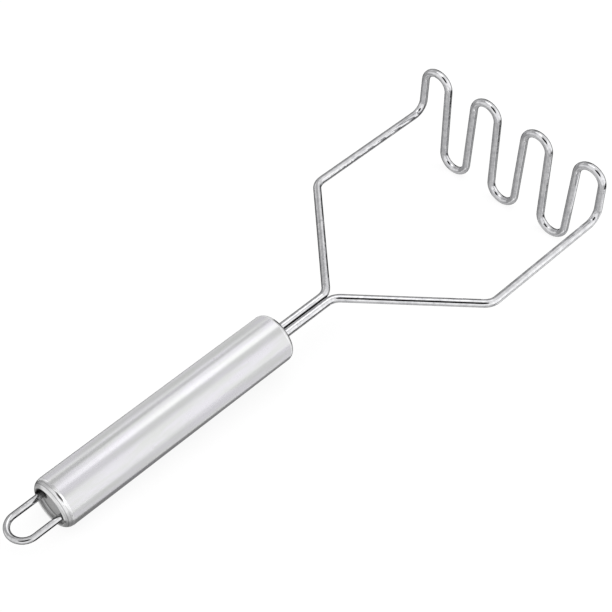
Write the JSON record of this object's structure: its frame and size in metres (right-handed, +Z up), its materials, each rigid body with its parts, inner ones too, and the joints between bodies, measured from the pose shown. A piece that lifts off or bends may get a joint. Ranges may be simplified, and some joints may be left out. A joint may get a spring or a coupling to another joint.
{
  "type": "wire potato masher",
  "caption": "Potato masher with a satin tube handle, a forked wire frame bent up and down into a wavy mashing face, and a U-shaped hanging loop.",
  "frame": {"origin": "on the table, under the middle of the tool as it lies at rest", "axes": "+X forward along the tool, from the hanging loop to the mashing face; +Z up, square to the table; +Y to the left. The handle's axis lies in the XZ plane and rises 3.14 degrees towards the head, because the tool rests on the lower bends of its wire and on the rear edge of the handle."},
  "size_m": [0.291, 0.107, 0.0529],
  "materials": {
    "polished_wire": "drawn stainless steel wire, polished, faint drawing lines along it",
    "satin_tube": "satin stainless steel, fine grinding lines, soft lengthwise reflections",
    "turned_cap": "turned stainless steel, satin as the tube is, with a polished rim around the recess",
    "loop_wire": "polished stainless steel wire",
    "inner_steel": "plain sheet steel, unpolished",
    "weld_metal": "dull weld metal"
  },
  "bodies": {
    "root": {"masher_wire": "polished_wire", "handle_tube": "satin_tube", "front_cap": "turned_cap", "rear_cap": "turned_cap", "hang_loop": "loop_wire", "anchor_disc": "inner_steel", "front_wire_weld": "weld_metal", "anchor_wire_weld": "weld_metal", "loop_weld_left": "weld_metal", "loop_weld_right": "weld_metal"}
  },
  "joints": []
}
